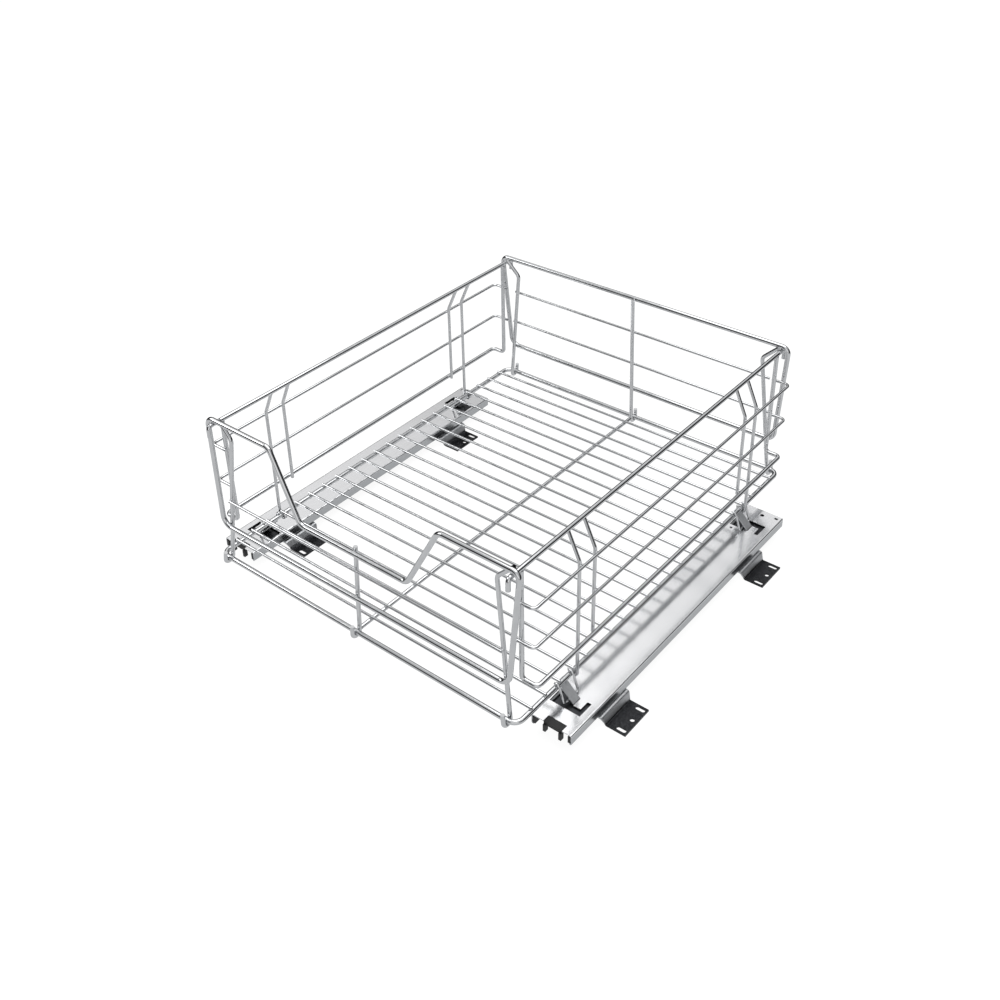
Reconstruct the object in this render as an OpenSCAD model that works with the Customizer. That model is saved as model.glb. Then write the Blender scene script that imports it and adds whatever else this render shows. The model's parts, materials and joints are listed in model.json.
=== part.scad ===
// Pull-out wire basket for a base cabinet, on two flat-laid ball-bearing slides.
// X runs across the cabinet, -Y is the way the basket pulls out, Z = 0 is the cabinet floor.
// The basket sits on raised tongues of the drawer rails, and a hinged wire clip at each
// tongue hooks over the basket's frame wire.

/* [Basket floor] */
// Distance between the two side wires of the floor frame, centre to centre
floor_w = 399; // [330:1:460]
// Distance between the front and back wires of the floor frame, centre to centre
floor_l = 493; // [470:0.5:520]
// Diameter of the heavy frame wire
frame_d = 5.5; // [5:0.1:6.5]
// Bend radius of the floor frame's corners, at the wire's centre
frame_corner_r = 10; // [7:0.5:10.5]
// Diameter of the thin wires that make the floor
cross_d = 3; // [2.2:0.1:4]
// Number of floor wires
cross_count = 22; // [16:1:26]
// How far a floor wire's end stands past the side wire's centre
cross_overhang = 1; // [0.5:0.1:1.5]
// Diameter of the wire that runs under the middle of the floor
spine_d = 4.5; // [3.6:0.1:5]

/* [End panels] */
// Height of the top rail above the floor frame, along the panel
panel_h = 168.3; // [155:0.1:200]
// How far an end panel leans in, in degrees
panel_rake = 3; // [0:0.1:3.4]
// Width of an end panel at its top rail, centre to centre
panel_top_w = 397; // [388:1:402]
// Width of an end panel at its low rail, centre to centre
panel_low_w = 380; // [372:1:388]
// Height of the low rail above the floor frame, along the panel
low_rail_h = 42; // [30:0.1:50]
// Bend radius of the two top corners
top_corner_r = 8; // [7:0.1:10]
// Bend radius of the two low corners
low_corner_r = 12; // [8:0.5:18]
// Diameter of the legs that join an end panel to the floor frame
leg_d = 4.5; // [4:0.1:5]
// Distance from a side wire of the floor to the foot of a corner leg
leg_foot_in = 11; // [10.6:0.1:20]
// Length of the sloping bar at the top of a corner leg
leg_bar_l = 24; // [18:0.5:30]
// Bend radius between that bar and the leg
leg_bend_r = 8; // [5:0.5:12]
// Height of a leg's hook tip above the floor frame
leg_hook_h = 9; // [5:0.5:14]

/* [Front dip] */
// Width of the dip in the front top rail, at the top
dip_top_w = 216.4; // [190:0.1:260]
// Width of the dip at its bottom
dip_low_w = 140; // [110:1:160]
// Height of the dip's bottom above the floor frame
dip_floor_h = 95; // [85:0.1:115]
// Bend radius of the dip's four corners
dip_bend_r = 9; // [6:0.5:14]

/* [Panel wires] */
// Diameter of the thin wires across the end panels
thin_d = 3; // [2.2:0.1:3.8]
// Height of the front panel's thin wire
front_wire_h = 74; // [60:0.1:80]
// How far the front thin wire's ends stand past the corner legs' centres
front_wire_past = 0.5; // [0:0.1:3]
// Height of the back panel's lower thin wire
back_low_wire_h = 79; // [65:0.1:90]
// Height of the back panel's upper thin wire
back_high_wire_h = 123.6; // [105:0.1:135]
// How far the back thin wires' ends stand past the corner legs' centres
back_wire_past = 6; // [0:0.5:8]

/* [Side panels] */
// Diameter of the top wire of a side panel
top_wire_d = 4.8; // [4.2:0.1:5.2]
// How far the top wire runs out past the end panel's top rail
top_hook_out = 6.5; // [5.5:0.1:9]
// How far its ends are bent down
top_hook_drop = 12.5; // [9:0.5:18]
// Diameter of the closed hoop: two end posts and the low side wire
hoop_d = 4.8; // [4.2:0.1:5.2]
// Height of the hoop's low wire above the floor frame
hoop_h = 36.7; // [28:0.1:45]
// Gap between a corner leg and the side wires' turned ends
side_gap = 0.6; // [0.4:0.1:4]
// Diameter of the two thin side wires
side_wire_d = 3.2; // [2.6:0.1:3.6]
// Height of the middle side wire above the floor frame
side_mid_h = 84.1; // [70:0.1:95]
// Height of the upper side wire above the floor frame
side_high_h = 128.7; // [112:0.1:130]
// How far a thin side wire's end stands past the post's centre
side_wire_past = 4; // [2.5:0.1:8]
// Bend radius of the side wires, the hoop and the top wire's ends
side_bend_r = 5; // [4:0.5:6]
// Diameter of the upright stays
stay_d = 3.6; // [3:0.1:3.8]
// Gap between a front clip and the long stay beside it
stay_gap = 2; // [0.5:0.1:4]
// Distance from a long stay to the short stay beside it
stay_pitch = 24; // [10:1:60]
// Height above the floor frame at which a stay turns in towards the top wire
stay_bend_h = 133.5; // [132:0.5:145]
// Bend radius of that turn
stay_bend_r = 6; // [3:0.5:9]
// Height of a long stay's hook tip above the floor frame's centre
stay_hook_h = 1; // [0:0.1:1.5]
// How far a short stay ends below the hoop's centre
short_stay_past = 2; // [0.5:0.1:4]

/* [Slides] */
// Width of a slide
slide_w = 45.7; // [45:0.1:50]
// Thickness of a slide
slide_h = 12.7; // [12.5:0.1:14]
// Distance from the front wire of the floor to the slides' front ends
slide_setback = 32.9; // [26:0.1:36]
// Distance from the back wire of the floor to the slides' back ends
slide_back_in = 54.1; // [48:0.1:60]
// Sheet thickness of the drawer and cabinet rails
rail_t = 1.2; // [1:0.05:1.3]
// Sheet thickness of the middle rails
middle_t = 1.4; // [1.2:0.05:1.5]
// Bend radius of the rails, at mid-sheet
rail_bend_r = 1.5; // [1.2:0.1:1.8]
// Width of the drawer rail's turned-in lips
rail_lip = 1.8; // [1.6:0.1:2]
// Height of the drawer and middle rails' lower edges over the slide's base
rail_foot = 0.8; // [0.5:0.1:1]
// Diameter of a ball
ball_d = 4; // [3.8:0.05:4.2]
// Running gap between a ball and its raceways
ball_gap = 0.2; // [0.1:0.05:0.25]
// Distance between the two walls that a row of balls runs in
race_gap = 3.6; // [3.5:0.05:3.8]
// Height of the balls' centres over the slide's base
ball_h = 4.6; // [4.5:0.05:4.9]
// Number of balls in a row
balls_per_row = 9; // [5:1:12]
// Sheet thickness of the ball cages
cage_t = 0.5; // [0.4:0.05:0.6]
// Gap between rails and cages that pass over each other
run_gap = 0.3; // [0.25:0.05:0.35]
// How much shorter than a slide its travel is
travel_less = 6; // [2:0.5:40]

/* [Rail openings] */
// Width of the notch in the drawer rail's front end
notch_w = 21; // [16:0.5:24]
// Depth of that notch
notch_l = 8; // [6:0.5:9]
// How far the notch's middle lies outboard of the rail's middle
notch_out = 1.5; // [0:0.1:3]
// Diameter of the round hole near the drawer rail's back end
rail_hole_d = 4.5; // [3.5:0.1:6]
// Distance of that hole from the back end
rail_hole_in = 8.8; // [7:0.1:12]
// How far that hole lies outboard of the rail's middle
rail_hole_out = 1.4; // [0:0.1:4]
// Diameter of the small hole behind each tongue's window
lance_hole_d = 3; // [2:0.1:4]

/* [End stops] */
// Length of the moulded end stop inside the drawer rail
stop_l = 10; // [9.5:0.5:14]
// Width of each foot of the end stop
stop_foot_w = 3; // [2:0.1:4]
// How far the feet stand out in front of the rail
stop_foot_out = 1.5; // [0.5:0.1:3]
// Gap between the parked middle rail and the end stop
stop_gap = 0.3; // [0.2:0.05:0.6]
// Height of the stop's cross bar
stop_bar_h = 3.3; // [2.5:0.1:4]
// Length of the cross bar along the slide
stop_bar_l = 3.5; // [2:0.5:6]

/* [Tongues] */
// Height of the frame wire's underside over the drawer rail
seat_h = 14.55; // [13:0.05:18]
// Distance of the frame wire inboard of the slide's middle
seat_in = 14.5; // [13.5:0.1:15.5]
// Width of a tongue
tongue_w = 10.5; // [8:0.1:10.6]
// Gap between a tongue and the nearer end of its window
tongue_edge_gap = 0.25; // [0.1:0.05:0.5]
// How far the tongue's root lies outboard of the slide's middle
root_out = 2; // [1:0.1:3]
// How far the flat of the tongue's seat reaches outboard of the frame wire's centre
seat_flat = 1.5; // [0.5:0.1:3]
// Bend radius between the tongue's ramp and its seat, at mid-sheet
seat_bend_r = 1.6; // [1:0.1:2.5]
// Length of the window that the tongue is pressed out of
window_l = 19; // [18:0.1:20]
// Width of the window inboard of the slide's middle
window_in = 20; // [19:0.1:20.2]
// Distance of the outer slot from the tongue's root
outer_slot_gap = 8; // [6:0.1:9]
// Width of the outer slot
outer_slot_w = 4.5; // [3:0.1:6]
// Distance of the front window's middle from the slide's front end
front_window_in = 33.6; // [32:0.1:35]
// Distance of the back window's middle from the slide's back end
back_window_in = 35.9; // [35.5:0.1:36.5]

/* [Wire clips] */
// Diameter of the clip wire
clip_d = 2.4; // [2:0.1:2.6]
// Distance between a clip's two legs
clip_span = 22; // [21.6:0.1:22.4]
// Distance of the clip's hinge line inboard of the slide's middle
clip_in = 4.5; // [3:0.1:6]
// Gap between a clip and what it turns past
clip_gap = 0.3; // [0.2:0.05:0.5]
// Least gap between a clip's legs and the floor wires
clip_wire_gap = 0.45; // [0.3:0.05:1]
// Angle round the frame wire at which a clip's hook ends
clip_wrap = 95; // [80:1:105]
// Straight length at the end of a clip's hook
clip_tip = 1.5; // [0.5:0.1:2]
// Bend radius at the foot of a clip's legs
clip_bend_r = 2.6; // [2:0.1:3.5]

/* [Brackets] */
// Height of a bracket from the cabinet floor to the slide
bracket_h = 10.4; // [9:0.1:16]
// Sheet thickness of a bracket
bracket_t = 2; // [1.6:0.1:2.5]
// Length of a bracket's floor flange along the slide
bracket_l = 40.4; // [38:0.1:44]
// Length of a bracket where it meets the slide
bracket_root_l = 46; // [44:0.5:52]
// Distance from the slide's middle to the foot of the bracket's slope
bracket_foot_x = 28.2; // [27:0.1:32]
// Distance from the slide's edge to the top of the bracket's slope
bracket_slope_out = 1.4; // [1:0.1:2]
// Distance from the slide's middle to the bracket's outer edge
bracket_out_x = 50; // [49.5:0.1:56]
// Bend radius of a bracket, at mid-sheet
bracket_bend_r = 2; // [1.5:0.1:2.5]
// Distance of the front brackets' middle from the slide's front end
front_bracket_in = 67.6; // [60:0.1:90]
// Distance of the back brackets' middle from the slide's back end
back_bracket_in = 74.4; // [65:0.1:95]
// Length of a screw slot
slot_l = 10.5; // [8:0.1:11]
// Width of a screw slot
slot_w = 4.5; // [3.5:0.1:5.5]
// Distance between a bracket's two slots
slot_pitch = 32; // [26:0.1:33]
// Distance from the slide's middle to the slots' middle
slot_x = 43; // [41.5:0.1:44]
// Diameter of the round screw hole between the slots
pilot_d = 4.8; // [3.5:0.1:5.5]
// Distance from the slide's middle to that hole
pilot_x = 44.5; // [41:0.1:46]
// Diameter of the rivets that hold a rail to its brackets
rivet_d = 4; // [3:0.1:4.8]
// Diameter of a rivet's heads
rivet_head_d = 7.5; // [6:0.1:9]
// Thickness of a rivet's heads
rivet_head_t = 1; // [0.8:0.1:1.4]
// Distance between a bracket's two rivets
rivet_pitch = 24; // [16:0.5:30]

/* [Hidden] */
$fn = 48;

// How deep crossing wires are welded into each other
weld = 0.1;
// A bent wire swells this much at a bend, and its straight runs reach this far into it
swell = 0.01;
lap = 0.1;
// Straight run at the bottom of a hook, between its two bends
hook_run = 0.4;
// Flats that a sheet's bend is drawn with
fold_steps = 6;
// Overrun of a cutting body past the face that it cuts
over = 1;
// How far the opening beside a tongue's root reaches past its edge
root_relief = 0.5;
// Play of a rivet, a moulding or a ball pocket in its opening
fit_gap = 0.05;
pocket_gap = 0.15;
mould_gap = 0.2;

// Radii of the round wires
frame_r = frame_d / 2;
cross_r = cross_d / 2;
spine_r = spine_d / 2;
leg_r = leg_d / 2;
thin_r = thin_d / 2;
top_wire_r = top_wire_d / 2;
hoop_r = hoop_d / 2;
side_wire_r = side_wire_d / 2;
stay_r = stay_d / 2;
clip_r = clip_d / 2;
ball_r = ball_d / 2;

// Where the slides lie
slide_x = floor_w / 2 + seat_in;
slide_front = -floor_l / 2 + slide_setback;
slide_back = floor_l / 2 - slide_back_in;
slide_len = slide_back - slide_front;
slide_travel = slide_len - travel_less;
parked_front = slide_front + stop_l + stop_gap;
slide_top_z = bracket_h + slide_h;

// Heights of the basket's wires
floor_z = slide_top_z + seat_h + frame_r;
cross_z = floor_z + frame_r + cross_r - weld;
spine_z = cross_z - cross_r - spine_r + weld;
cross_pitch = floor_l / (cross_count + 1);

// End panels, drawn upright over their floor wire and then leaned in
leg_off = frame_r + leg_r - weld;
thin_off = leg_off - leg_r - thin_r + weld;
top_rail_y = floor_l / 2 - panel_h * sin(panel_rake);
top_wire_z = floor_z + panel_h * cos(panel_rake) - frame_r - top_wire_r + weld;
top_wire_h = (top_wire_z - floor_z + leg_off * sin(panel_rake)) / cos(panel_rake);
leg_foot_x = floor_w / 2 - leg_foot_in;

// The corner leg's bar rests on the side panel's top wire at 45 degrees
bar_slope = 45;
bar_end = 1.5;
bar_rest = top_wire_r + leg_r - weld;
bar_dir = [cos(bar_slope), sin(bar_slope)];
top_wire_x = panel_top_w / 2 - top_corner_r;
bar_seat = [top_wire_x - bar_rest * sin(bar_slope), top_wire_h + bar_rest * cos(bar_slope)];
leg_elbow = bar_seat - leg_bar_l * bar_dir;
leg_tip = bar_seat + bar_end * bar_dir;

// Side panels
stay_off = frame_r + stay_r - weld;
stay_x = floor_w / 2 + stay_off;
side_wire_x = stay_x + stay_r + side_wire_r - weld;
hoop_x = stay_x + stay_r + hoop_r - weld;
leg_inner_y = floor_l / 2 - (leg_off + leg_r) / cos(panel_rake) - side_high_h * tan(panel_rake);
side_turn_y = leg_inner_y - side_gap - side_wire_r;
post_y = side_turn_y - hoop_r - side_wire_r + weld;
top_hook_y = top_rail_y + top_hook_out;

// Slide section, from the drawer rail inwards
outer_wall = slide_w / 2 - rail_t;
outer_ball_x = outer_wall - race_gap / 2;
middle_out = outer_wall - race_gap;
middle_in = middle_out - middle_t;
inner_ball_x = middle_in - race_gap / 2;
cabinet_out = middle_in - race_gap;
race_r = ball_r + ball_gap;
upper_cage_top = slide_h - rail_t - run_gap;
middle_top = upper_cage_top - cage_t - run_gap;
lower_cage_top = middle_top - middle_t - run_gap;
cabinet_top = lower_cage_top - cage_t - run_gap;

// A cage stays between the rails' overlapping halves all the way out
middle_len = slide_back - parked_front;
cage_margin = 5;
cage_len = middle_len - slide_travel / 2 - 2 * cage_margin;
cage_mid = (parked_front + slide_back) / 2;
cage_bend_r = 0.8;
cage_skirt = 2.4;
ball_pitch = cage_len / balls_per_row;

// Tongues lie in the half of their window that faces the slide's middle, and keep the
// clips' legs between the floor wires
tongue_shift = (window_l - tongue_w) / 2 - tongue_edge_gap;
front_tongue_y = clear_of_wires(slide_front + front_window_in + tongue_shift);
back_tongue_y = clear_of_wires(slide_back - back_window_in - tongue_shift);
front_window_y = front_tongue_y - tongue_shift;
back_window_y = back_tongue_y + tongue_shift;
lance_hole_x = -15.5;
lance_hole_gap = 5;
corner_notch = [4, 3];
corner_notch_x = 17;
corner_notch_in = 5.4;

// A clip's leg is tangent to the circle that its hook makes round the frame wire
clip_ring_r = frame_r + clip_gap + clip_r;
clip_axis_z = slide_h + clip_gap + clip_r;
wire_from_clip = [clip_in - seat_in, slide_h + seat_h + frame_r - clip_axis_z];
clip_touch = atan2(-wire_from_clip.y, -wire_from_clip.x) + acos(clip_ring_r / norm(wire_from_clip));

// The front long stays stand behind their clips, the back ones between tongue and clip leg
front_stay_y = front_tongue_y + clip_span / 2 + clip_r + stay_r + stay_gap;
back_stay_y = back_tongue_y + (tongue_w / 2 + clip_span / 2 - clip_r) / 2;

// Brackets
bracket_top_y = bracket_root_l / 2;
bracket_low_y = bracket_l / 2;
bracket_slope_x = slide_w / 2 + bracket_slope_out;
front_bracket_y = slide_front + front_bracket_in;
back_bracket_y = slide_back - back_bracket_in;

// The origin is the middle of the outline at floor level
centre_shift = (slide_w / 2 - bracket_out_x) / 2;

// The nearest place to y at which both legs of a clip keep clear of the floor wires
function clear_of_wires(y) =
    let (room = clip_r + cross_r + clip_wire_gap,
         spare = clip_span - cross_pitch,
         first = y - clip_span / 2 + floor_l / 2,
         past = first - cross_pitch * floor(first / cross_pitch),
         least = max(room, room - spare),
         most = min(cross_pitch - room, cross_pitch - room - spare))
    y + min(max(past, least), most) - past;

// ---------------------------------------------------------------- bent wire

function unit(v) = v / norm(v);
function turn(a, b, c) = acos(unit(b - a) * unit(c - b));
function setback(a, b, c, r) = r * tan(turn(a, b, c) / 2);
function bend(r, i) = is_list(r) ? r[i] : r;
function hook_r(off) = off - hook_run / 2;

// A straight round wire between two points
module rod(a, b, d) {
    v = b - a;
    translate(a)
        rotate([0, acos(v.z / norm(v)), atan2(v.y, v.x)])
            cylinder(d = d, h = norm(v));
}

// The bend of a round wire that runs from a to b and on to c
module elbow(a, b, c, d, r) {
    along = unit(b - a);
    after = unit(c - b);
    inward = unit(after - (after * along) * along);
    centre = b - along * setback(a, b, c, r) + inward * r;
    axis = cross(-inward, along);
    multmatrix([[-inward.x, along.x, axis.x, centre.x],
                [-inward.y, along.y, axis.y, centre.y],
                [-inward.z, along.z, axis.z, centre.z]])
        rotate_extrude(angle = turn(a, b, c))
            translate([r, 0]) circle(d = d + 2 * swell);
}

// A wire with round bends through a list of points; r is one bend radius, or a list
// with one for each point
module wire(points, d, r, closed = false) {
    n = len(points);
    first = closed ? 0 : 1;
    last = closed ? n - 1 : n - 2;
    cut = [for (i = [0 : n - 1])
        i < first || i > last ? 0
            : setback(points[(i + n - 1) % n], points[i], points[(i + 1) % n], bend(r, i))];
    for (i = [0 : closed ? n - 1 : n - 2]) {
        j = (i + 1) % n;
        along = unit(points[j] - points[i]);
        start = points[i] + along * (cut[i] - min(lap, cut[i]));
        end = points[j] - along * (cut[j] - min(lap, cut[j]));
        rod(start, end, d);
    }
    for (i = [first : last])
        elbow(points[(i + n - 1) % n], points[i], points[(i + 1) % n], d, bend(r, i));
}

// ---------------------------------------------------------------- bent sheet

function left_of(v) = [-v.y, v.x];
function turned(v, a) = [v.x * cos(a) - v.y * sin(a), v.x * sin(a) + v.y * cos(a)];
function reversed(list) = [for (i = [len(list) - 1 : -1 : 0]) list[i]];

// Points round one bend of the middle line a, b, c, at a distance to its left
function fold(a, b, c, r, offset) =
    let (along = unit(b - a),
         sense = sign(along.x * (c - b).y - along.y * (c - b).x),
         centre = b - along * setback(a, b, c, r) + sense * r * left_of(along))
    [for (k = [0 : fold_steps])
        centre - sense * (r - sense * offset)
            * left_of(turned(along, sense * turn(a, b, c) * k / fold_steps))];

// One side of a bent sheet: its middle line moved to the left, with round bends
function sheet_side(points, r, offset) =
    let (last = len(points) - 1)
    concat([points[0] + offset * left_of(unit(points[1] - points[0]))],
           [for (i = [1 : 1 : last - 1])
               each fold(points[i - 1], points[i], points[i + 1], bend(r, i), offset)],
           [points[last] + offset * left_of(unit(points[last] - points[last - 1]))]);

// The section of a bent sheet, along its middle line
module sheet(points, t, r)
    polygon(concat(sheet_side(points, r, t / 2), reversed(sheet_side(points, r, -t / 2))));

// Draws a section in X and Z and runs it along Y from y0 to y1
module along_y(y0, y1) {
    translate([0, y1, 0]) rotate([90, 0, 0]) linear_extrude(y1 - y0) children();
}

// ---------------------------------------------------------------- placing

module part() { translate([centre_shift, 0, 0]) children(); }
module at_left() { mirror([1, 0, 0]) children(); }
module at_back() { mirror([0, 1, 0]) children(); }

// A slide's own frame: X from its middle, outboard positive, Z from its base
module at_slide() { translate([slide_x, 0, bracket_h]) children(); }

// An end panel's own frame: X across, Y inwards, Z up the panel from the floor wire
module on_panel() {
    translate([0, -floor_l / 2, floor_z]) rotate([-panel_rake, 0, 0]) children();
}

// ---------------------------------------------------------------- slides

module raceways(x) {
    for (side = [-1, 1]) translate([side * x, ball_h]) circle(race_r);
}

module drawer_section() {
    wall = slide_w / 2 - rail_t / 2;
    top = slide_h - rail_t / 2;
    foot = rail_foot + rail_t / 2;
    lip = wall - rail_lip;
    difference() {
        sheet([[-lip, foot], [-wall, foot], [-wall, top], [wall, top], [wall, foot], [lip, foot]],
              rail_t, min(rail_bend_r, rail_lip - rail_t / 2));
        raceways(outer_ball_x);
    }
}

module middle_section() {
    wall = middle_out - middle_t / 2;
    top = middle_top - middle_t / 2;
    difference() {
        sheet([[-wall, rail_foot], [-wall, top], [wall, top], [wall, rail_foot]],
              middle_t, rail_bend_r);
        raceways(outer_ball_x);
        raceways(inner_ball_x);
    }
}

module cabinet_section() {
    wall = cabinet_out - rail_t / 2;
    base = rail_t / 2;
    difference() {
        sheet([[-wall, cabinet_top], [-wall, base], [wall, base], [wall, cabinet_top]],
              rail_t, rail_bend_r);
        raceways(inner_ball_x);
    }
}

module rivet_places(y) {
    for (end = [-1, 1]) translate([0, y + end * rivet_pitch / 2, 0]) children();
}

module cabinet_rail() color("silver") at_slide() difference() {
    along_y(parked_front, slide_back) cabinet_section();
    for (y = [front_bracket_y, back_bracket_y]) rivet_places(y)
        translate([0, 0, -over]) cylinder(d = rivet_d + 2 * fit_gap, h = rail_t + 2 * over);
}

module middle_rail() color("silver") at_slide()
    along_y(parked_front, slide_back) middle_section();

// A ball cage: a bridge over the rail below, with two skirts that hold the balls
module cage(x, top) color("gainsboro") at_slide() difference() {
    along_y(cage_mid - cage_len / 2, cage_mid + cage_len / 2)
        sheet([[-x, ball_h - cage_skirt], [-x, top - cage_t / 2],
               [x, top - cage_t / 2], [x, ball_h - cage_skirt]], cage_t, cage_bend_r);
    for (i = [1 : balls_per_row])
        translate([-x - over, ball_row(i), ball_h]) rotate([0, 90, 0])
            cylinder(r = ball_r + pocket_gap, h = 2 * x + 2 * over);
}

function ball_row(i) = cage_mid - cage_len / 2 + (i - 0.5) * ball_pitch;

module balls(x) color("lightgray") at_slide()
    for (side = [-1, 1], i = [1 : balls_per_row])
        translate([side * x, ball_row(i), ball_h]) sphere(r = ball_r);

// The tongue: a ramp, then a seat that turns up behind the frame wire
module tongue() {
    seat_r = frame_r + rail_t / 2;
    wire_at = [-seat_in, slide_h + seat_h + frame_r];
    sheet([[root_out, slide_h - rail_t / 2], wire_at + [seat_flat, -seat_r],
           wire_at + [-seat_r, -seat_r], wire_at + [-seat_r, 0]],
          rail_t, [0, seat_bend_r, seat_r, 0]);
}

// Window, outer slot and the opening that joins them; towards is the side of the root
module tongue_cuts(y, towards) {
    root_edge = tongue_shift - tongue_w / 2 - root_relief;
    link_l = window_l / 2 + root_edge;
    translate([-window_in, y - window_l / 2, slide_h - rail_t - over])
        cube([window_in + root_out, window_l, rail_t + 2 * over]);
    translate([root_out + outer_slot_gap, y - window_l / 2, slide_h - rail_t - over])
        cube([outer_slot_w, window_l, rail_t + 2 * over]);
    translate([root_out - over, towards > 0 ? y - window_l / 2 : y - root_edge,
               slide_h - rail_t - over])
        cube([outer_slot_gap + 2 * over, link_l, rail_t + 2 * over]);
    translate([lance_hole_x, y + towards * (window_l / 2 + lance_hole_gap),
               slide_h - rail_t - over])
        cylinder(d = lance_hole_d, h = rail_t + 2 * over);
}

module drawer_rail() color("whitesmoke") at_slide() {
    difference() {
        along_y(slide_front, slide_back) drawer_section();
        tongue_cuts(front_window_y, 1);
        tongue_cuts(back_window_y, -1);
        translate([notch_out - notch_w / 2, slide_front - over, slide_h - rail_t - over])
            cube([notch_w, notch_l + over, rail_t + 2 * over]);
        translate([rail_hole_out, slide_back - rail_hole_in, slide_h - rail_t - over])
            cylinder(d = rail_hole_d, h = rail_t + 2 * over);
        translate([corner_notch_x - corner_notch.x / 2,
                   slide_back - corner_notch_in - corner_notch.y / 2, slide_h - rail_t - over])
            cube([corner_notch.x, corner_notch.y, rail_t + 2 * over]);
    }
    for (y = [front_tongue_y, back_tongue_y])
        along_y(y - tongue_w / 2, y + tongue_w / 2) tongue();
}

// The moulded stop in the drawer rail's front end, which parks the inner rails
module end_stop() color("#161616") at_slide() translate([0, slide_front, 0]) {
    bar_half = slide_w / 2 - rail_t / 2 - rail_bend_r;
    bar_low = slide_h - rail_t - stop_bar_h;
    arm_w = race_gap - 2 * run_gap;
    arm_low = rail_foot + rail_t + run_gap;
    pad_l = stop_l - notch_l;
    translate([-bar_half, notch_l - stop_bar_l, bar_low])
        cube([2 * bar_half, stop_bar_l, stop_bar_h]);
    translate([notch_out - notch_w / 2 + mould_gap, 0, bar_low])
        cube([notch_w - 2 * mould_gap, notch_l - mould_gap, slide_h - run_gap - bar_low]);
    for (side = [-1, 1]) {
        translate([side * outer_ball_x - arm_w / 2, 0, arm_low])
            cube([arm_w, notch_l, slide_h - rail_t - rail_bend_r - arm_low]);
        translate([side * middle_in - arm_w / 2, notch_l - over, bar_low - over])
            cube([arm_w, pad_l + over, over + arm_w]);
        translate([notch_out + side * (notch_w / 2 - mould_gap - stop_foot_w / 2)
                       - stop_foot_w / 2, -stop_foot_out, rail_foot])
            cube([stop_foot_w, stop_foot_out + stop_foot_w, bar_low + over - rail_foot]);
    }
}

// ---------------------------------------------------------------- brackets

module slot() {
    run = slot_l - slot_w;
    square([run, slot_w], center = true);
    for (end = [-1, 1]) translate([end * run / 2, 0]) circle(d = slot_w);
}

// A bracket's outline seen along X, wider where it meets the slide
module bracket_outline() {
    shoulder = -bracket_t;
    ankle = bracket_t - bracket_h;
    polygon([[-bracket_top_y, over], [bracket_top_y, over], [bracket_top_y, shoulder],
             [bracket_low_y, ankle], [bracket_low_y, -bracket_h - over],
             [-bracket_low_y, -bracket_h - over], [-bracket_low_y, ankle],
             [-bracket_top_y, shoulder]]);
}

// The Z bracket; it points the same way under both slides
module bracket(slide, y) color("#6c6f72") translate([slide * slide_x, y, bracket_h])
    difference() {
        intersection() {
            along_y(-bracket_top_y, bracket_top_y)
                sheet([[-cabinet_out, -bracket_t / 2], [bracket_slope_x, -bracket_t / 2],
                       [bracket_foot_x, bracket_t / 2 - bracket_h],
                       [bracket_out_x, bracket_t / 2 - bracket_h]], bracket_t, bracket_bend_r);
            translate([-slide_w, 0, 0]) rotate([90, 0, 90])
                linear_extrude(slide_w + bracket_out_x + over) bracket_outline();
        }
        translate([0, 0, -bracket_h - over]) linear_extrude(bracket_t + 2 * over) {
            for (end = [-1, 1]) translate([slot_x, end * slot_pitch / 2]) slot();
            translate([pilot_x, 0]) circle(d = pilot_d);
        }
        rivet_places(0) translate([0, 0, -bracket_t - over])
            cylinder(d = rivet_d + 2 * fit_gap, h = bracket_t + 2 * over);
    }

module rivet() {
    grip = bracket_t + rail_t;
    translate([0, 0, -bracket_t]) cylinder(d = rivet_d, h = grip);
    translate([0, 0, rail_t]) cylinder(d = rivet_head_d, h = rivet_head_t);
    translate([0, 0, -bracket_t - rivet_head_t]) cylinder(d = rivet_head_d, h = rivet_head_t);
}

module bracket_rivets() color("silver")
    for (slide = [-1, 1], y = [front_bracket_y, back_bracket_y])
        translate([slide * slide_x, 0, bracket_h]) rivet_places(y) rivet();

// ---------------------------------------------------------------- basket floor

module floor_frame() color("gainsboro")
    wire([for (c = [[-1, -1], [1, -1], [1, 1], [-1, 1]])
              [c.x * floor_w / 2, c.y * floor_l / 2, floor_z]],
         frame_d, frame_corner_r, closed = true);

module floor_spine() color("gainsboro") {
    end = floor_l / 2 - leg_off - leg_r + weld;
    rod([0, -end, spine_z], [0, end, spine_z], spine_d);
}

module floor_wires() color("gainsboro")
    for (i = [1 : cross_count]) {
        y = -floor_l / 2 + i * cross_pitch;
        end = floor_w / 2 + cross_overhang;
        rod([-end, y, cross_z], [end, y, cross_z], cross_d);
    }

// ---------------------------------------------------------------- end panels

module panel_frame(dip) color("gainsboro") on_panel() {
    top = panel_top_w / 2;
    low = panel_low_w / 2;
    over_dip = [[dip_top_w / 2, 0, panel_h], [dip_low_w / 2, 0, dip_floor_h],
                [-dip_low_w / 2, 0, dip_floor_h], [-dip_top_w / 2, 0, panel_h]];
    corners = [[-top, 0, panel_h], [-low, 0, low_rail_h], [low, 0, low_rail_h],
               [top, 0, panel_h]];
    radii = [top_corner_r, low_corner_r, low_corner_r, top_corner_r];
    dip_radii = [for (p = over_dip) dip_bend_r];
    wire(dip ? concat(corners, over_dip) : corners, frame_d,
         dip ? concat(radii, dip_radii) : radii, closed = true);
}

// X of the corner leg's centre at a height up the panel
function leg_x(h) = leg_foot_x + (leg_elbow.x - leg_foot_x) * h / leg_elbow.y;

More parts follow.
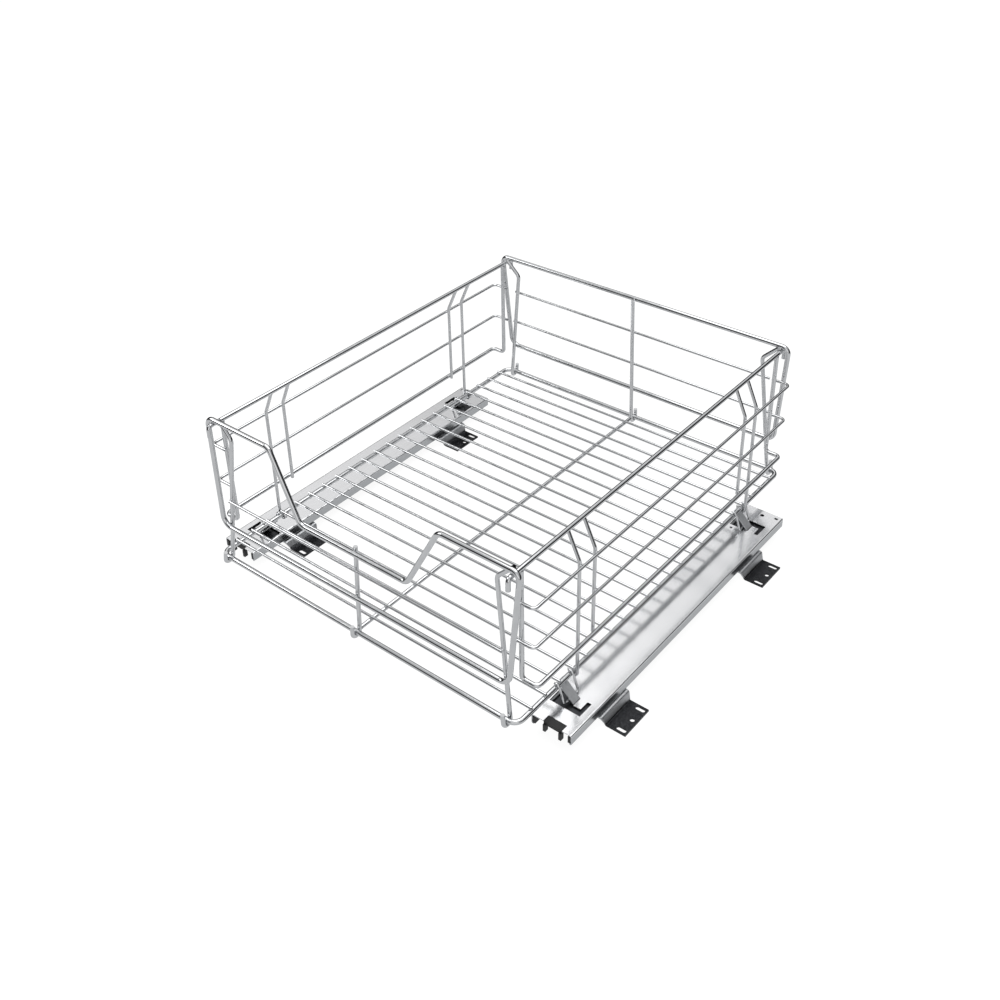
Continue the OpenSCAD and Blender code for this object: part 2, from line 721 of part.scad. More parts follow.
// A corner leg: bar, elbow, leg, and a hook round the floor frame's end wire
module corner_leg() color("gainsboro") on_panel() {
    down = unit([leg_foot_x - leg_elbow.x, 0, -leg_elbow.y]);
    inner_turn = [leg_foot_x, leg_off, 0] + leg_off * down;
    outer_turn = inner_turn - [0, 2 * leg_off, 0];
    wire([[leg_tip.x, leg_off, leg_tip.y], [leg_elbow.x, leg_off, leg_elbow.y],
          inner_turn, outer_turn, outer_turn - (leg_off + leg_hook_h) * down],
         leg_d, [0, leg_bend_r, hook_r(leg_off), hook_r(leg_off), 0]);
}

module middle_leg(top) color("gainsboro") on_panel()
    wire([[0, leg_off, top], [0, leg_off, -leg_off], [0, -leg_off, -leg_off],
          [0, -leg_off, leg_hook_h]],
         leg_d, hook_r(leg_off));

module thin_wire(h, past) color("gainsboro") on_panel() {
    end = leg_x(h) + past;
    rod([-end, thin_off, h], [end, thin_off, h], thin_d);
}

// ---------------------------------------------------------------- side panels

module top_wire() color("gainsboro") {
    tip = top_wire_z - top_hook_drop;
    wire([[top_wire_x, -top_hook_y, tip], [top_wire_x, -top_hook_y, top_wire_z],
          [top_wire_x, top_hook_y, top_wire_z], [top_wire_x, top_hook_y, tip]],
         top_wire_d, side_bend_r);
}

module side_wire(h) color("gainsboro") {
    end = top_wire_x - side_wire_past;
    z = floor_z + h;
    wire([[end, -side_turn_y, z], [side_wire_x, -side_turn_y, z],
          [side_wire_x, side_turn_y, z], [end, side_turn_y, z]],
         side_wire_d, side_bend_r);
}

module hoop() color("gainsboro") {
    low = floor_z + hoop_h;
    top = top_wire_z - top_wire_r + weld;
    wire([[top_wire_x, -post_y, top], [top_wire_x, -post_y, low], [hoop_x, -post_y, low],
          [hoop_x, post_y, low], [top_wire_x, post_y, low], [top_wire_x, post_y, top]],
         hoop_d, side_bend_r);
}

// The upper end of a stay leans in and butts against the top wire
function stay_top(y) =
    let (elbow = [stay_x, y, floor_z + stay_bend_h], wire_at = [top_wire_x, y, top_wire_z])
    [wire_at + (top_wire_r - weld) * unit(elbow - wire_at), elbow];

module long_stay(y) color("gainsboro")
    wire(concat(stay_top(y),
                [[stay_x, y, floor_z - stay_off],
                 [stay_x - 2 * stay_off, y, floor_z - stay_off],
                 [stay_x - 2 * stay_off, y, floor_z + stay_hook_h]]),
         stay_d, [0, stay_bend_r, hook_r(stay_off), hook_r(stay_off), 0]);

module short_stay(y) color("gainsboro")
    wire(concat(stay_top(y), [[stay_x, y, floor_z + hoop_h - short_stay_past]]),
         stay_d, stay_bend_r);

// ---------------------------------------------------------------- wire clips

// A clip in its parked place: hinge wire, two legs, and a hook over the frame wire
module clip(tongue_y) color("gainsboro") at_slide() {
    mid = (clip_touch + clip_wrap) / 2;
    knee = clip_ring_r / cos((clip_wrap - clip_touch) / 2);
    wire_at = [-seat_in, 0, slide_h + seat_h + frame_r];
    base = [-clip_in, 0, clip_axis_z];
    corner = wire_at + knee * [cos(mid), 0, sin(mid)];
    tip = wire_at + clip_ring_r * [cos(clip_wrap), 0, sin(clip_wrap)]
        + clip_tip * [-sin(clip_wrap), 0, cos(clip_wrap)];
    front = [0, tongue_y - clip_span / 2, 0];
    back = [0, tongue_y + clip_span / 2, 0];
    wire([tip + front, corner + front, base + front, base + back, corner + back, tip + back],
         clip_d, [0, clip_ring_r, clip_bend_r, clip_bend_r, clip_ring_r, 0]);
}

// ---------------------------------------------------------------- nodes

part() at_left() cabinet_rail();  // left_cabinet_rail
part() cabinet_rail();  // right_cabinet_rail
part() bracket(-1, front_bracket_y);  // left_front_bracket
part() bracket(-1, back_bracket_y);  // left_back_bracket
part() bracket(1, front_bracket_y);  // right_front_bracket
part() bracket(1, back_bracket_y);  // right_back_bracket
part() bracket_rivets();
part() at_left() middle_rail();  // left_middle_rail
part() middle_rail();  // right_middle_rail
part() at_left() cage(inner_ball_x, lower_cage_top);  // left_lower_cage
part() at_left() balls(inner_ball_x);  // left_lower_balls
part() cage(inner_ball_x, lower_cage_top);  // right_lower_cage
part() balls(inner_ball_x);  // right_lower_balls
part() at_left() cage(outer_ball_x, upper_cage_top);  // left_upper_cage
part() at_left() balls(outer_ball_x);  // left_upper_balls
part() cage(outer_ball_x, upper_cage_top);  // right_upper_cage
part() balls(outer_ball_x);  // right_upper_balls
part() at_left() drawer_rail();  // left_drawer_rail
part() drawer_rail();  // right_drawer_rail
part() at_left() end_stop();  // left_end_stop
part() end_stop();  // right_end_stop
part() floor_frame();
part() floor_spine();
part() floor_wires();
part() panel_frame(true);  // front_panel_frame
part() thin_wire(front_wire_h, front_wire_past);  // front_thin_wire
part() at_left() corner_leg();  // front_left_leg
part() corner_leg();  // front_right_leg
part() middle_leg(dip_floor_h + frame_r + leg_r);  // front_middle_leg
part() at_back() panel_frame(false);  // back_panel_frame
part() at_back() thin_wire(back_low_wire_h, back_wire_past);  // back_lower_wire
part() at_back() thin_wire(back_high_wire_h, back_wire_past);  // back_upper_wire
part() at_back() at_left() corner_leg();  // back_left_leg
part() at_back() corner_leg();  // back_right_leg
part() at_back() middle_leg(panel_h);  // back_middle_leg
part() at_left() top_wire();  // left_top_wire
part() at_left() side_wire(side_high_h);  // left_upper_side_wire
part() at_left() side_wire(side_mid_h);  // left_middle_side_wire
part() at_left() hoop();  // left_hoop
part() top_wire();  // right_top_wire
part() side_wire(side_high_h);  // right_upper_side_wire
part() side_wire(side_mid_h);  // right_middle_side_wire
part() hoop();  // right_hoop
part() at_left() long_stay(front_stay_y);  // left_front_long_stay
part() at_left() long_stay(back_stay_y);  // left_back_long_stay
part() long_stay(front_stay_y);  // right_front_long_stay
part() long_stay(back_stay_y);  // right_back_long_stay
part() at_left() short_stay(front_stay_y + stay_pitch);  // left_front_short_stay
part() at_left() short_stay(back_stay_y - stay_pitch);  // left_back_short_stay
part() short_stay(front_stay_y + stay_pitch);  // right_front_short_stay
part() short_stay(back_stay_y - stay_pitch);  // right_back_short_stay
part() at_left() clip(front_tongue_y);  // left_front_clip
part() at_left() clip(back_tongue_y);  // left_back_clip
part() clip(front_tongue_y);  // right_front_clip
part() clip(back_tongue_y);  // right_back_clip
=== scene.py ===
# %% [markdown]
# # A pull-out wire basket on two slides
# The metal solids come ready made from the CAD model and are loaded first. They are the
# frame: they aren't moved or reshaped here. This script gives them their finishes, rounds the
# edges of the sheet metal, lays the weld beads and sets up the camera and the studio.

# %% Load the frame
import json
from math import cos, radians, sin

import bmesh
import bpy
from mathutils import Matrix, Vector


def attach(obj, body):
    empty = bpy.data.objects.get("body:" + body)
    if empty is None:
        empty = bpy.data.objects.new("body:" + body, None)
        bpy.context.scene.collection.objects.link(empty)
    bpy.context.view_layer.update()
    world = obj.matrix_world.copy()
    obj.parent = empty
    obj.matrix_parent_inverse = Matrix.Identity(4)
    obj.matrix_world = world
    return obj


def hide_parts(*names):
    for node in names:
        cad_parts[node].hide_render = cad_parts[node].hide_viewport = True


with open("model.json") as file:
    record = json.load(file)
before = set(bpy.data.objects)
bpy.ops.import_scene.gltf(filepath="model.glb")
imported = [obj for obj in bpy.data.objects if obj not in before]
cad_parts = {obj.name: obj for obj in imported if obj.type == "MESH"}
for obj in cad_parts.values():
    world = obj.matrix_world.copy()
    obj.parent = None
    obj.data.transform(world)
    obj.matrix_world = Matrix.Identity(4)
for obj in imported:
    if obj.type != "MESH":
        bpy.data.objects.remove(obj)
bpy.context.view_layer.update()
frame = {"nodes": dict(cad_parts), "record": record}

MM = 0.001

# %% [markdown]
# ## Camera
# The basket is seen from above its right front corner. The camera's axes are written as three
# rows: to the right, down, and into the picture. Blender's camera looks along its own -Z and
# has +Y up, so the second and third rows change sign. The lens shift lowers the picture
# without tilting the camera, which keeps the upright wires as upright as a product picture
# has them.

# %% Place the camera
RIGHT = Vector((0.78076, 0.62464, -0.01558))
DOWN = Vector((0.31794, -0.41861, -0.85069))
FORWARD = Vector((-0.5379, 0.65923, -0.52543))
CAMERA_AT = (0.6577, -0.8394, 0.8499)
FOCAL_LENGTH, SENSOR_WIDTH = 43.19, 36.0
LENS_SHIFT = -0.1

lens = bpy.data.cameras.new("camera")
lens.sensor_width = SENSOR_WIDTH
lens.lens = FOCAL_LENGTH
lens.shift_y = LENS_SHIFT
lens.clip_start = 0.01
camera = bpy.data.objects.new("camera", lens)
bpy.context.collection.objects.link(camera)
turn = Matrix((RIGHT, -DOWN, -FORWARD)).transposed().to_4x4()
camera.matrix_world = Matrix.Translation(CAMERA_AT) @ turn
bpy.context.scene.camera = camera
print("camera at", [round(v, 3) for v in camera.location])

# %% [markdown]
# ## Two helpers for materials
# Colours are given as they look on a screen, in sRGB hex. Shaders count in linear light, so
# one function turns one into the other. The second adds a node to a tree, sets its values
# and links its inputs, so that a material reads as a short list of nodes.

# %% Colours and nodes
def colour(code):
    """A hex colour such as #c0c4c8 as linear RGBA."""
    parts = [int(code[i:i + 2], 16) / 255 for i in (1, 3, 5)]
    return [c / 12.92 if c <= 0.04045 else ((c + 0.055) / 1.055) ** 2.4 for c in parts] + [1.0]


def add(tree, kind, inputs=None, **settings):
    """A new node. inputs maps a socket's name or number to a value or to another node's socket."""
    made = tree.nodes.new(kind)
    for name, value in settings.items():
        setattr(made, name, value)
    for name, value in (inputs or {}).items():
        if isinstance(value, bpy.types.NodeSocket):
            tree.links.new(value, made.inputs[name])
        else:
            made.inputs[name].default_value = value
    return made


def start(name, **fixed):
    """A material with one Principled shader, and the values that are the same all over it."""
    material = bpy.data.materials.new(name)
    material.use_nodes = True
    shader = material.node_tree.nodes["Principled BSDF"]
    for socket, value in fixed.items():
        shader.inputs[socket].default_value = value
    return material, material.node_tree, shader


def per_mm(size):
    """A noise texture's scale for a pattern of that size in millimetres."""
    return 1 / (size * MM)

# %% [markdown]
# ## The finishes
# **Chrome-plated wire.** The basket is drawn steel wire, welded, then dipped in a nickel and
# chromium bath. Chromium is a hard mirror, slightly cool in colour. Drawing leaves the wire
# very smooth, so the bump is only the faint ripple that the bath adds, and handling leaves a
# thin haze, which changes the roughness a little from place to place.

# %% Chrome
chrome, tree, shader = start("chrome_plated_wire", Metallic=1.0)
place = add(tree, "ShaderNodeTexCoord").outputs["Object"]
haze = add(tree, "ShaderNodeTexNoise", {"Vector": place, "Scale": per_mm(14), "Detail": 3.0})
rough = add(tree, "ShaderNodeMapRange", {"Value": haze.outputs["Fac"], "From Min": 0.3,
            "From Max": 0.7, "To Min": 0.05, "To Max": 0.12})
tint = add(tree, "ShaderNodeMix", {"Factor": haze.outputs["Fac"], "A": colour("#c5c6c8"),
           "B": colour("#dadbdc")}, data_type="RGBA")
ripple = add(tree, "ShaderNodeTexNoise", {"Vector": place, "Scale": per_mm(9), "Detail": 0.0})
bump = add(tree, "ShaderNodeBump", {"Height": ripple.outputs["Fac"], "Strength": 0.03,
           "Distance": 0.3 * MM})
tree.links.new(tint.outputs["Result"], shader.inputs["Base Color"])
tree.links.new(rough.outputs["Result"], shader.inputs["Roughness"])
tree.links.new(bump.outputs["Normal"], shader.inputs["Normal"])
print("made", chrome.name)

# %% [markdown]
# ** Rolled sheet steel.** The rails start as a coil of strip, so the rolls leave fine lines
# along their length, which here is Y. A noise that is stretched a hundred times along Y
# draws them. Zinc plate over it gives a soft cloudiness, a few millimetres to some centimetres
# across. One function makes the four grades: the polished top rail, the greased inner rails,
# whose dark grey is painted shade so that the top rail's windows read black, the ball cages
# and the heavier bracket sheet.

# %% Sheet steel
def rolled_sheet(name, dark, light, smooth, dull, line_mm, cloud_mm):
    """Zinc-plated strip: its darkest and lightest colour, its range of roughness, and the
    width of its roll lines and of its clouds in millimetres."""
    material, tree, shader = start(name, Metallic=1.0)
    place = add(tree, "ShaderNodeTexCoord").outputs["Object"]
    along = add(tree, "ShaderNodeMapping", {"Vector": place, "Scale": (1.0, 0.01, 1.0)})
    lines = add(tree, "ShaderNodeTexNoise", {"Vector": along.outputs["Vector"],
                "Scale": per_mm(line_mm), "Detail": 4.0, "Roughness": 0.6})
    clouds = add(tree, "ShaderNodeTexNoise", {"Vector": place, "Scale": per_mm(cloud_mm),
                 "Detail": 3.0})
    tint = add(tree, "ShaderNodeMix", {"Factor": clouds.outputs["Fac"], "A": colour(dark),
               "B": colour(light)}, data_type="RGBA")
    both = add(tree, "ShaderNodeMath", {0: lines.outputs["Fac"], 1: clouds.outputs["Fac"]},
               operation="MULTIPLY")
    rough = add(tree, "ShaderNodeMapRange", {"Value": both.outputs["Value"], "From Min": 0.12,
                "From Max": 0.4, "To Min": smooth, "To Max": dull})
    bump = add(tree, "ShaderNodeBump", {"Height": lines.outputs["Fac"], "Strength": 0.12,
               "Distance": 0.05 * MM})
    tree.links.new(tint.outputs["Result"], shader.inputs["Base Color"])
    tree.links.new(rough.outputs["Result"], shader.inputs["Roughness"])
    tree.links.new(bump.outputs["Normal"], shader.inputs["Normal"])
    print("made", material.name)
    return material


polished = rolled_sheet("polished_zinc_strip", "#dcdddf", "#efeff0", 0.14, 0.24, 0.6, 40)
# The inner rails' dark grey is painted shade, which makes the top rail's windows read black.
inner_rail_painted_shade = rolled_sheet("inner_zinc_strip_painted_shade", "#2f3032", "#4c4d50", 0.25, 0.4, 0.6, 25)
plated = rolled_sheet("bracket_zinc_plate", "#b4b6b8", "#cfd0d2", 0.36, 0.48, 0.8, 9)
cage = rolled_sheet("greased_cage_strip", "#77797c", "#8f9194", 0.2, 0.32, 0.4, 12)

# %% [markdown]
# ** Two tones on one sheet.** The brackets are heavier sheet of the same kind. Their slope and
# shoulder keep the light plate, and the flat floor flange is painted near black: a painted
# reflection of a dark room in its upturned face. On the top rails the top face is bright, the
# tongues that stand up from it are scuffed dull by the punch, and the folded sides are painted
# a darker grey as painted shade on the upright walls. The height in the solid's own
# coordinates chooses between the tones, so the heights in mm of the flange's top face and of
# the rail's are named first.

# %% Second tone by height
FLANGE_TOP = 2.1
RAIL_TOP = 23.1


def second_tone(material, none_at, full_at, dark, light, duller):
    """Blend a mottled second tone in between two heights in mm, and add to the roughness."""
    tree = material.node_tree
    shader = tree.nodes["Principled BSDF"]
    first = shader.inputs["Base Color"].links[0].from_socket
    sheen = shader.inputs["Roughness"].links[0].from_socket
    place = add(tree, "ShaderNodeTexCoord").outputs["Object"]
    height = add(tree, "ShaderNodeSeparateXYZ", {0: place})
    part = add(tree, "ShaderNodeMapRange", {"Value": height.outputs["Z"],
               "From Min": none_at * MM, "From Max": full_at * MM})
    mottle = add(tree, "ShaderNodeTexNoise", {"Vector": place, "Scale": per_mm(2.5),
                 "Detail": 3.0})
    second = add(tree, "ShaderNodeMix", {"Factor": mottle.outputs["Fac"], "A": colour(dark),
                 "B": colour(light)}, data_type="RGBA")
    tone = add(tree, "ShaderNodeMix", {"Factor": part.outputs["Result"], "A": first,
               "B": second.outputs["Result"]}, data_type="RGBA")
    rough = add(tree, "ShaderNodeMath", {0: part.outputs["Result"], 1: duller, 2: sheen},
                operation="MULTIPLY_ADD")
    tree.links.new(tone.outputs["Result"], shader.inputs["Base Color"])
    tree.links.new(rough.outputs["Value"], shader.inputs["Roughness"])
    print("toned", material.name)


# The near-black flange is a painted reflection of a dark room.
second_tone(plated, 2 * FLANGE_TOP, FLANGE_TOP, "#070708", "#494a4d", -0.2)
second_tone(polished, RAIL_TOP + 0.2, RAIL_TOP + 1.0, "#c2c4c6", "#e6e7e9", 0.35)
# The darker grey on the folded sides is painted shade.
second_tone(polished, RAIL_TOP - 1.2, RAIL_TOP - 2.0, "#b2b4b6", "#c6c8ca", 0.05)

# %% [markdown]
# **Ball steel.** Hardened, ground and polished balls under a film of grease: a mirror with
# a little haze.

# %% Balls
ball_steel, tree, shader = start("ground_ball_steel", Metallic=1.0)
place = add(tree, "ShaderNodeTexCoord").outputs["Object"]
film = add(tree, "ShaderNodeTexNoise", {"Vector": place, "Scale": per_mm(1.5), "Detail": 2.0})
rough = add(tree, "ShaderNodeMapRange", {"Value": film.outputs["Fac"], "To Min": 0.05,
            "To Max": 0.25})
tint = add(tree, "ShaderNodeMix", {"Factor": film.outputs["Fac"], "A": colour("#b4b6b8"),
           "B": colour("#cfd0d2")}, data_type="RGBA")
tree.links.new(tint.outputs["Result"], shader.inputs["Base Color"])
tree.links.new(rough.outputs["Result"], shader.inputs["Roughness"])
print("made", ball_steel.name)

# %% [markdown]
# **Acetal.** The end stops are injection moulded in black acetal. The tool is spark eroded,
# which leaves an even grain of about a third of a millimetre and a low sheen.

# %% Black plastic
acetal, tree, shader = start("moulded_black_acetal", IOR=1.48)
place = add(tree, "ShaderNodeTexCoord").outputs["Object"]
grain = add(tree, "ShaderNodeTexNoise", {"Vector": place, "Scale": per_mm(0.35), "Detail": 2.0})
tint = add(tree, "ShaderNodeMix", {"Factor": grain.outputs["Fac"], "A": colour("#0c0c0d"),
           "B": colour("#1d1d1f")}, data_type="RGBA")
rough = add(tree, "ShaderNodeMapRange", {"Value": grain.outputs["Fac"], "To Min": 0.38,
            "To Max": 0.58})
bump = add(tree, "ShaderNodeBump", {"Height": grain.outputs["Fac"], "Strength": 0.25,
           "Distance": 0.05 * MM})
tree.links.new(tint.outputs["Result"], shader.inputs["Base Color"])
tree.links.new(rough.outputs["Result"], shader.inputs["Roughness"])
tree.links.new(bump.outputs["Normal"], shader.inputs["Normal"])
print("made", acetal.name)

# %% [markdown]
# ## Dress the frame
# The record names a material slot for each solid. The loaded solid takes the finish of its
# slot, so no solid is left in the plain colour that it came with.

# %% Hand out the finishes
FINISHES = {"chrome_wire": chrome, "polished_rail": polished, "zinc_rail": inner_rail_painted_shade,
            "bracket_steel": plated, "cage_steel": cage, "ball_steel": ball_steel,
            "black_plastic": acetal}
SLOTS = {part["node"]: part["material_slot"] for part in frame["record"]["subparts"]}
BODY = {node: body for body, nodes in frame["record"]["behaviour"]["bodies"].items()
        for node in nodes}

for name, obj in frame["nodes"].items():
    for slot in obj.material_slots:
        slot.material = FINISHES[SLOTS[name]]
print("dressed", len(frame["nodes"]), "solids")

# %% [markdown]
# ## Sheared edges
# A punched sheet has no knife edge: the press rolls one side over and a tumbling drum rubs
# down the rest. That thin round edge catches a line of light, which is what makes a rail or a
# bracket read as sheet metal. The moulded end stops have rounded edges too. The solids share
# no corners between their faces as they are loaded, so a copy of each is first sewn together,
# then its edges are rounded by a width in millimetres.

# %% Round the sheet edges
SEWN = 0.001 * MM
FLAT = radians(1.0)
SHARP = radians(40.0)
RAIL_EDGE, STOP_EDGE, BRACKET_EDGE = 0.25, 0.3, 0.35


def eased(node, width):
    """A sewn copy of a solid with rounded edges, which is shown in its place."""
    mesh = frame["nodes"][node].data.copy()
    work = bmesh.new()
    work.from_mesh(mesh)
    bmesh.ops.remove_doubles(work, verts=work.verts, dist=SEWN)
    bmesh.ops.dissolve_limit(work, verts=work.verts, edges=work.edges, angle_limit=FLAT)
    work.to_mesh(mesh)
    work.free()
    piece = bpy.data.objects.new(node + "_eased", mesh)
    bpy.context.collection.objects.link(piece)
    rounding = piece.modifiers.new("rounding", "BEVEL")
    rounding.width = width * MM
    rounding.segments = 2
    rounding.limit_method = "ANGLE"
    rounding.angle_limit = SHARP
    rounding.harden_normals = True
    rounding.use_clamp_overlap = True
    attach(piece, BODY[node])
    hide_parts(node)
    return piece


for side in ("left", "right"):
    eased(side + "_drawer_rail", RAIL_EDGE)
    eased(side + "_end_stop", STOP_EDGE)
    for end in ("front", "back"):
        eased(f"{side}_{end}_bracket", BRACKET_EDGE)

# %% [markdown]
# ## Weld beads
# Every crossing of two wires is a resistance weld: the wires are squeezed between two
# electrodes, sink a little into each other, and a small bulge of steel is pushed out round the
# contact. The contacts are marked first, in millimetres from the middle of the basket, each
# with the axis along which the wires were squeezed. The end panels lean in, so a height there
# is measured up the panel, from the floor frame.

# %% Mark the contacts of the floor and the end panels
FRAME_X, FRAME_Y, FRAME_Z = 199.5, 246.5, 40.4
FLOOR_WIRES = 22
CONTACT = 2.7
LEAN = radians(3.0)
LEG_FOOT_X, LEG_LEAN = 188.5, 0.1215
FRONT_WIRES, FRONT_MIDDLE_TOP = (42.0, 74.0), 95.0
BACK_WIRES, BACK_MIDDLE_TOP = (42.0, 79.0, 123.6), 168.3


def panel(end, x, h):
    """A contact point between a panel's frame and a wire inside it, at a height up the panel."""
    y = FRAME_Y - CONTACT * cos(LEAN) - h * sin(LEAN)
    return x, end * y, FRAME_Z + h * cos(LEAN) - CONTACT * sin(LEAN)


contacts = []
for i in range(1, FLOOR_WIRES + 1):
    y = -FRAME_Y + i * 2 * FRAME_Y / (FLOOR_WIRES + 1)
    contacts += [((x, y, FRAME_Z + CONTACT), "z") for x in (-FRAME_X, 0, FRAME_X)]
for end, heights, middle_top in ((-1, FRONT_WIRES, FRONT_MIDDLE_TOP),
                                 (1, BACK_WIRES, BACK_MIDDLE_TOP)):
    for h in heights:
        leg_x = LEG_FOOT_X - LEG_LEAN * h
        contacts += [(panel(end, x, h), "y") for x in (leg_x, -leg_x, 0)]
    contacts.append((panel(end, 0, middle_top), "y"))
print("contacts of the floor and the end panels:", len(contacts))

# %% [markdown]
# On each side three long wires cross four stays. The lowest is the long stretch of a hoop,
# whose two ends are bent up into posts. The two wires above it end on these posts, and each
# post ends under the top wire.

# %% Mark the contacts of the side panels
STAY_X, STAYS_Y = 205.7, (-160, -136, 137, 161)
LOW_WIRE, MIDDLE_WIRE, UPPER_WIRE = 36.7, 84.1, 128.7
TOP_X, TOP_Z, TOP_CONTACT = 190.5, 203.4, 2.4
POST_Y, POST_CONTACT = 226.5, 2.35

for side in (-1, 1):
    for h in (LOW_WIRE, MIDDLE_WIRE, UPPER_WIRE):
        contacts += [((side * STAY_X, y, FRAME_Z + h), "x") for y in STAYS_Y]
    for end in (-1, 1):
        post_y = end * (POST_Y + POST_CONTACT)
        contacts += [((side * TOP_X, post_y, FRAME_Z + h), "y")
                     for h in (MIDDLE_WIRE, UPPER_WIRE)]
        contacts.append(((side * TOP_X, end * POST_Y, TOP_Z - TOP_CONTACT), "z"))
print("contacts in all:", len(contacts))

# %% [markdown]
# A bead is a ball pressed flat along the axis of the squeeze. A ball with a radius of one
# millimetre is made at each contact and stretched by the bead's three radii. All of them are
# one mesh, because they move with the basket as one piece. The basket's middle isn't the middle
# of the whole part, since the brackets stick out to one side.

# %% Lay the beads
BASKET_MIDDLE_X = -13.575
BEAD_DEPTH, BEAD_WIDTH = 0.95, 1.75

beads = bmesh.new()
for (x, y, z), way in contacts:
    radii = [BEAD_DEPTH if way == axis else BEAD_WIDTH for axis in "xyz"]
    at = Vector((x + BASKET_MIDDLE_X, y, z)) * MM
    bmesh.ops.create_icosphere(beads, subdivisions=2, radius=MM,
                               matrix=Matrix.Translation(at) @ Matrix.Diagonal(radii + [1.0]))
for face in beads.faces:
    face.smooth = True
mesh = bpy.data.meshes.new("weld_beads")
beads.to_mesh(mesh)
beads.free()
welds = bpy.data.objects.new("weld_beads", mesh)
bpy.context.collection.objects.link(welds)
mesh.materials.append(chrome)
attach(welds, "basket")
print("beads:", len(contacts))

# %% [markdown]
# ## Studio
# A pale floor and soft light, as in a packshot. Polished metal has no colour of its own: it
# shows what is round it, so the room matters more than the lamps. White paper alone would make
# every wire white. So the floor's glow depends on the kind of ray: the camera sees it white,
# and the wires mirror a grey table that reaches well forward of the basket and ends soon
# behind it. The rest of the light that falls on it is scattered as by paper.

# %% Floor
FLOOR_SIZE = 40
TABLE_MIDDLE, TABLE_BRIGHT, TABLE_DARK = (0.68, -0.81, 0.0), 1.5, 1.85
GLOW, GLOW_SHARE = 1.1, 0.85

bpy.ops.mesh.primitive_plane_add(size=FLOOR_SIZE)
floor = bpy.context.object
floor.name = "floor"
pale, tree, shader = start("pale_floor", Roughness=0.9)
shader.inputs["Base Color"].default_value = colour("#f2f2f2")
shader.inputs["Specular IOR Level"].default_value = 0.0
path = add(tree, "ShaderNodeLightPath")
spot = add(tree, "ShaderNodeTexCoord").outputs["Object"]
far = add(tree, "ShaderNodeVectorMath", {0: spot, 1: TABLE_MIDDLE}, operation="DISTANCE")
table_end = add(tree, "ShaderNodeMapRange", {"Value": far.outputs["Value"],
                "From Min": TABLE_BRIGHT, "From Max": TABLE_DARK})
table = add(tree, "ShaderNodeMix", {"Factor": table_end.outputs["Result"],
            "A": colour("#cecfd0"), "B": colour("#0c0c0d")}, data_type="RGBA")
tone = add(tree, "ShaderNodeMix", {"Factor": path.outputs["Is Glossy Ray"],
           "A": colour("#ffffff"), "B": table.outputs["Result"]}, data_type="RGBA")
glow = add(tree, "ShaderNodeEmission", {"Color": tone.outputs["Result"], "Strength": GLOW})
seen = add(tree, "ShaderNodeMath", {0: path.outputs["Is Camera Ray"],
           1: path.outputs["Is Glossy Ray"]}, operation="MAXIMUM")
share = add(tree, "ShaderNodeMath", {0: seen.outputs["Value"], 1: GLOW_SHARE},
            operation="MULTIPLY")
mixed = add(tree, "ShaderNodeMixShader", {0: share.outputs["Value"],
            1: shader.outputs["BSDF"], 2: glow.outputs["Emission"]})
tree.links.new(mixed.outputs["Shader"], tree.nodes["Material Output"].inputs["Surface"])
floor.data.materials.append(pale)
print("made", pale.name)

# %% [markdown]
# The room is bright overhead and darker towards the horizon. A black screen stands behind the
# basket and a black card at either side: they draw the thin dark lines along each chrome wire.
# A white panel hangs over the screen, where the flat rail tops mirror it, and another in front
# for the sloping wires. Nothing here is an object: a panel is a direction from the part, with
# the cosines of the angles at which its soft rim starts and ends. The screen is also cut off
# at a height, given as the Z of the direction.

# %% Room
BLACK_CARDS = (((0.75, 0.66, 0.05), 0.82, 0.91), ((-0.54, -0.84, 0.05), 0.82, 0.91))
WHITE_PANELS = (((-0.54, 0.66, 0.525), 0.74, 0.87), ((0.62, -0.74, 0.26), 0.8, 0.93))
BLACK_SCREEN, SCREEN_EDGE, SCREEN_CORE = (-0.62, 0.78, 0.0), 0.2, 0.5
SCREEN_TOP, SCREEN_FULL = 0.54, 0.46

world = bpy.data.worlds.new("studio")
bpy.context.scene.world = world
world.use_nodes = True
tree = world.node_tree
way = add(tree, "ShaderNodeTexCoord").outputs["Generated"]
up = add(tree, "ShaderNodeSeparateXYZ", {0: way})
ceiling = add(tree, "ShaderNodeValToRGB", {"Fac": up.outputs["Z"]})
ceiling.color_ramp.elements[0].position = 0.15
ceiling.color_ramp.elements[0].color = colour("#4a4b4d")
ceiling.color_ramp.elements[1].position = 1.0
ceiling.color_ramp.elements[1].color = colour("#f2f3f3")
middle = ceiling.color_ramp.elements.new(0.6)
middle.color = colour("#b0b1b3")


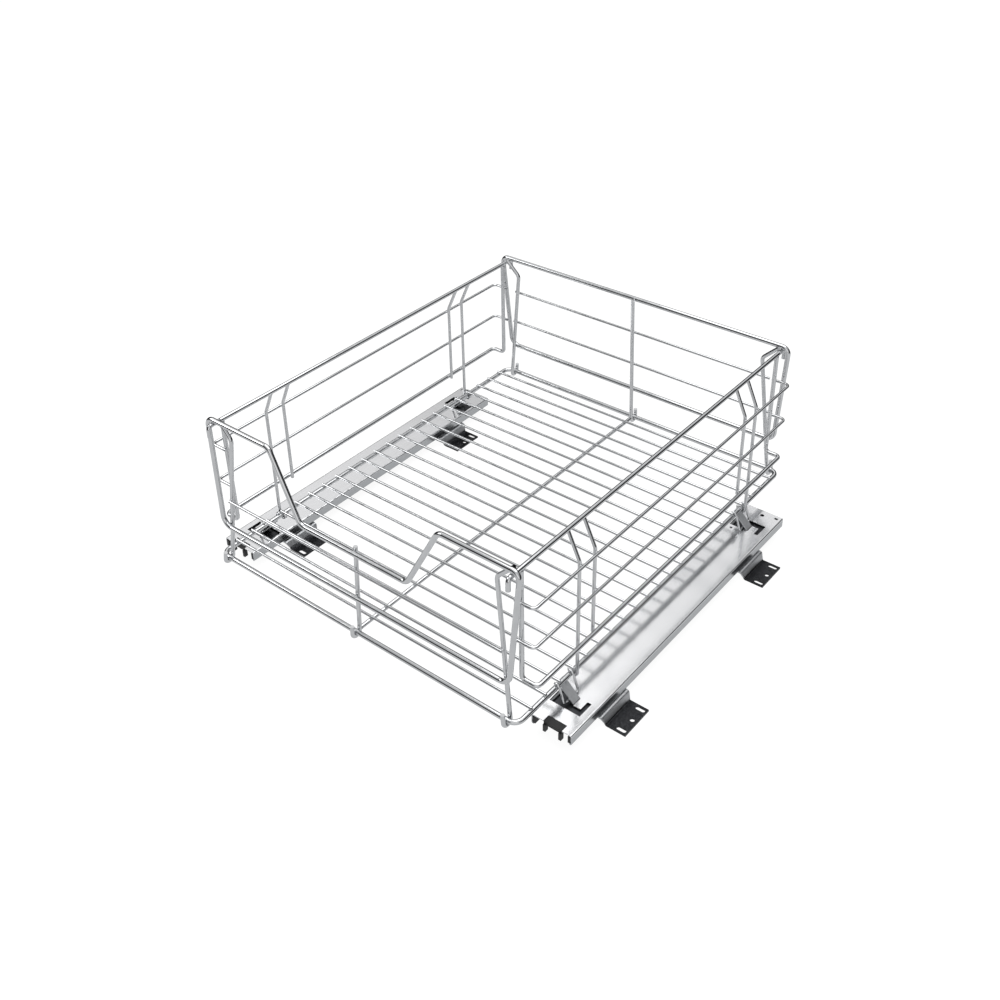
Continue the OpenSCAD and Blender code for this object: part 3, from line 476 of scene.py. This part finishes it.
def hang(behind, direction, edge, core, tone, share=1.0):
    """The room with a card hung in it, round a direction, from its rim's edge to its core."""
    toward = add(tree, "ShaderNodeVectorMath", {0: way, 1: direction}, operation="DOT_PRODUCT")
    cover = add(tree, "ShaderNodeMapRange", {"Value": toward.outputs["Value"], "From Min": edge,
                "From Max": core, "To Max": share})
    return add(tree, "ShaderNodeMix", {"Factor": cover.outputs["Result"], "A": behind,
               "B": colour(tone)}, data_type="RGBA").outputs["Result"]


room = ceiling.outputs["Color"]
for direction, edge, core in BLACK_CARDS:
    room = hang(room, direction, edge, core, "#050506")
for direction, edge, core in WHITE_PANELS:
    room = hang(room, direction, edge, core, "#ffffff")
below = add(tree, "ShaderNodeMapRange", {"Value": up.outputs["Z"], "From Min": SCREEN_TOP,
            "From Max": SCREEN_FULL}).outputs["Result"]
room = hang(room, BLACK_SCREEN, SCREEN_EDGE, SCREEN_CORE, "#040405", below)
path = add(tree, "ShaderNodeLightPath")
shown = add(tree, "ShaderNodeMix", {"Factor": path.outputs["Is Camera Ray"],
            "A": room, "B": colour("#ffffff")}, data_type="RGBA")
sky = tree.nodes["Background"]
tree.links.new(shown.outputs["Result"], sky.inputs["Color"])
print("hung:", len(BLACK_CARDS), "black cards,", len(WHITE_PANELS), "white panels, one screen")

# %% [markdown]
# Two large square lamps give the dull surfaces their light and the part its faint shadow: one
# overhead, and a weaker one from the front left. The colours are shown as they are, without
# the film look that Blender starts with, because a packshot's white has to stay white.

# %% Lamps
def softbox(name, at, aim, size, power):
    """A square lamp at a place, turned to a point, with its size in metres and watts."""
    data = bpy.data.lights.new(name, "AREA")
    data.size = size
    data.energy = power
    lamp = bpy.data.objects.new(name, data)
    bpy.context.collection.objects.link(lamp)
    lamp.matrix_world = (Matrix.Translation(at)
                         @ (Vector(aim) - Vector(at)).to_track_quat("-Z", "Y").to_matrix().to_4x4())


softbox("overhead", (0.0, 0.3, 2.4), (0, 0, 0.1), 2.2, 30)
softbox("key_left", (-2.0, -1.2, 1.6), (0, 0, 0.1), 1.0, 14)
bpy.context.scene.view_settings.view_transform = "Standard"
